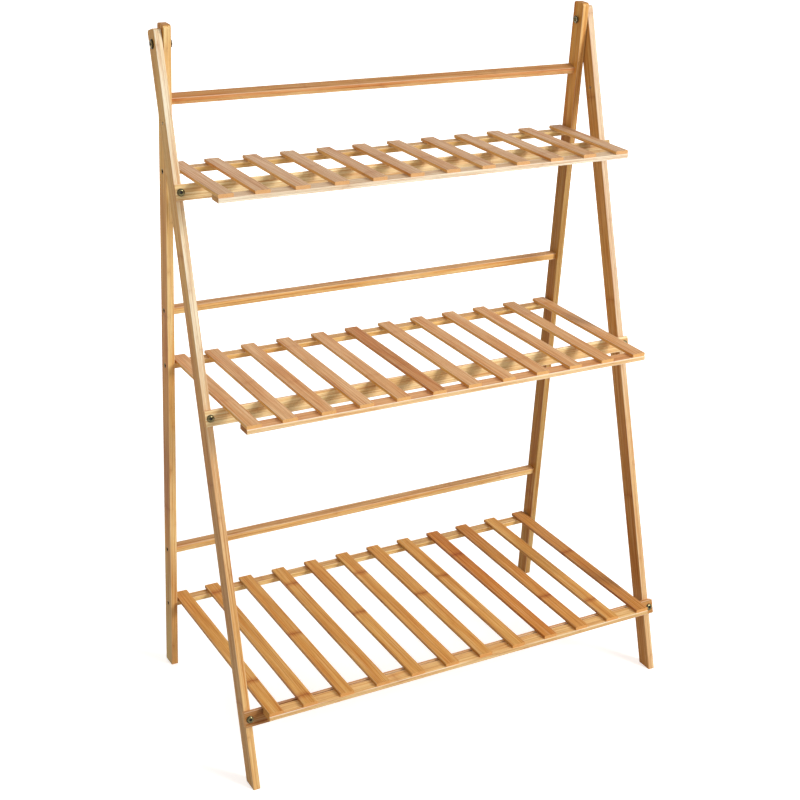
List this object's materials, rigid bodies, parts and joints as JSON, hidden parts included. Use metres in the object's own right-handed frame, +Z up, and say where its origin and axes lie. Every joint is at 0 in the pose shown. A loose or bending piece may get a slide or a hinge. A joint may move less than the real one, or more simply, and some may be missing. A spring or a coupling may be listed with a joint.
{
  "type": "plant ladder stand",
  "caption": "Folding bamboo ladder stand with slatted shelves for flowerpots. The shelves lift on their back rails and the front frame folds back.",
  "frame": {"origin": "bottom centre of the stand's bounding box: on the floor, midway between the front feet's front edges and the back feet's rear edges", "axes": "+Z up, -Y the front, where the front feet stand, and X across the stand, with +X on its right-hand side as seen from the front"},
  "size_m": [0.7018, 0.3654, 0.9942],
  "materials": {
    "front_leg_bamboo": "clear satin lacquer over laminated bamboo",
    "back_leg_bamboo": "clear satin lacquer over laminated bamboo",
    "rail_bamboo": "clear satin lacquer over laminated bamboo",
    "crossbar_bamboo": "clear satin lacquer over laminated bamboo",
    "strip_bamboo": "clear satin lacquer over laminated bamboo",
    "top_slat_bamboo": "clear satin lacquer over bamboo with visible nodes",
    "middle_slat_bamboo": "clear satin lacquer over bamboo with visible nodes",
    "bottom_slat_bamboo": "clear satin lacquer over bamboo with visible nodes",
    "grey_steel": "zinc plated",
    "bronze_steel": "bronze plated"
  },
  "bodies": {
    "back_frame": {"back_leg_left": "back_leg_bamboo", "back_leg_right": "back_leg_bamboo", "top_back_rail": "rail_bamboo", "middle_back_rail": "rail_bamboo", "lower_back_rail": "rail_bamboo", "back_rail_screws": "bronze_steel", "pivot_bolts": "bronze_steel", "pivot_nuts": "bronze_steel", "pivot_washers": "grey_steel"},
    "front_frame": {"front_leg_left": "front_leg_bamboo", "front_leg_right": "front_leg_bamboo", "top_crossbar": "crossbar_bamboo", "middle_crossbar": "crossbar_bamboo", "bottom_crossbar": "crossbar_bamboo", "crossbar_screws": "grey_steel"},
    "top_shelf": {"top_shelf_rail": "rail_bamboo", "top_front_strip": "strip_bamboo", "top_slat_01": "top_slat_bamboo", "top_slat_02": "top_slat_bamboo", "top_slat_03": "top_slat_bamboo", "top_slat_04": "top_slat_bamboo", "top_slat_05": "top_slat_bamboo", "top_slat_06": "top_slat_bamboo", "top_slat_07": "top_slat_bamboo", "top_slat_08": "top_slat_bamboo", "top_slat_09": "top_slat_bamboo", "top_slat_10": "top_slat_bamboo", "top_slat_11": "top_slat_bamboo", "top_slat_12": "top_slat_bamboo", "top_shelf_screws": "bronze_steel"},
    "middle_shelf": {"middle_shelf_rail": "rail_bamboo", "middle_front_strip": "strip_bamboo", "middle_slat_01": "middle_slat_bamboo", "middle_slat_02": "middle_slat_bamboo", "middle_slat_03": "middle_slat_bamboo", "middle_slat_04": "middle_slat_bamboo", "middle_slat_05": "middle_slat_bamboo", "middle_slat_06": "middle_slat_bamboo", "middle_slat_07": "middle_slat_bamboo", "middle_slat_08": "middle_slat_bamboo", "middle_slat_09": "middle_slat_bamboo", "middle_slat_10": "middle_slat_bamboo", "middle_slat_11": "middle_slat_bamboo", "middle_slat_12": "middle_slat_bamboo", "middle_shelf_screws": "bronze_steel"},
    "bottom_shelf": {"bottom_shelf_rail": "rail_bamboo", "bottom_front_strip": "strip_bamboo", "bottom_slat_01": "bottom_slat_bamboo", "bottom_slat_02": "bottom_slat_bamboo", "bottom_slat_03": "bottom_slat_bamboo", "bottom_slat_04": "bottom_slat_bamboo", "bottom_slat_05": "bottom_slat_bamboo", "bottom_slat_06": "bottom_slat_bamboo", "bottom_slat_07": "bottom_slat_bamboo", "bottom_slat_08": "bottom_slat_bamboo", "bottom_slat_09": "bottom_slat_bamboo", "bottom_slat_10": "bottom_slat_bamboo", "bottom_slat_11": "bottom_slat_bamboo", "bottom_slat_12": "bottom_slat_bamboo", "bottom_shelf_screws": "bronze_steel"}
  },
  "joints": [
    {"name": "front_frame_fold", "type": "hinge", "parent": "back_frame", "child": "front_frame", "pos_m": [0, 0.13692, 0.968], "axis": [1, 0, 0], "range_deg": [0, 19]},
    {"name": "top_shelf_lift", "type": "hinge", "parent": "back_frame", "child": "top_shelf", "pos_m": [0, 0.14293, 0.796], "axis": [-1, 0, 0], "range_deg": [0, 75]},
    {"name": "middle_shelf_lift", "type": "hinge", "parent": "back_frame", "child": "middle_shelf", "pos_m": [0, 0.15295, 0.509], "axis": [-1, 0, 0], "range_deg": [0, 75]},
    {"name": "bottom_shelf_lift", "type": "hinge", "parent": "back_frame", "child": "bottom_shelf", "pos_m": [0, 0.16695, 0.108], "axis": [-1, 0, 0], "range_deg": [0, 75]}
  ]
}
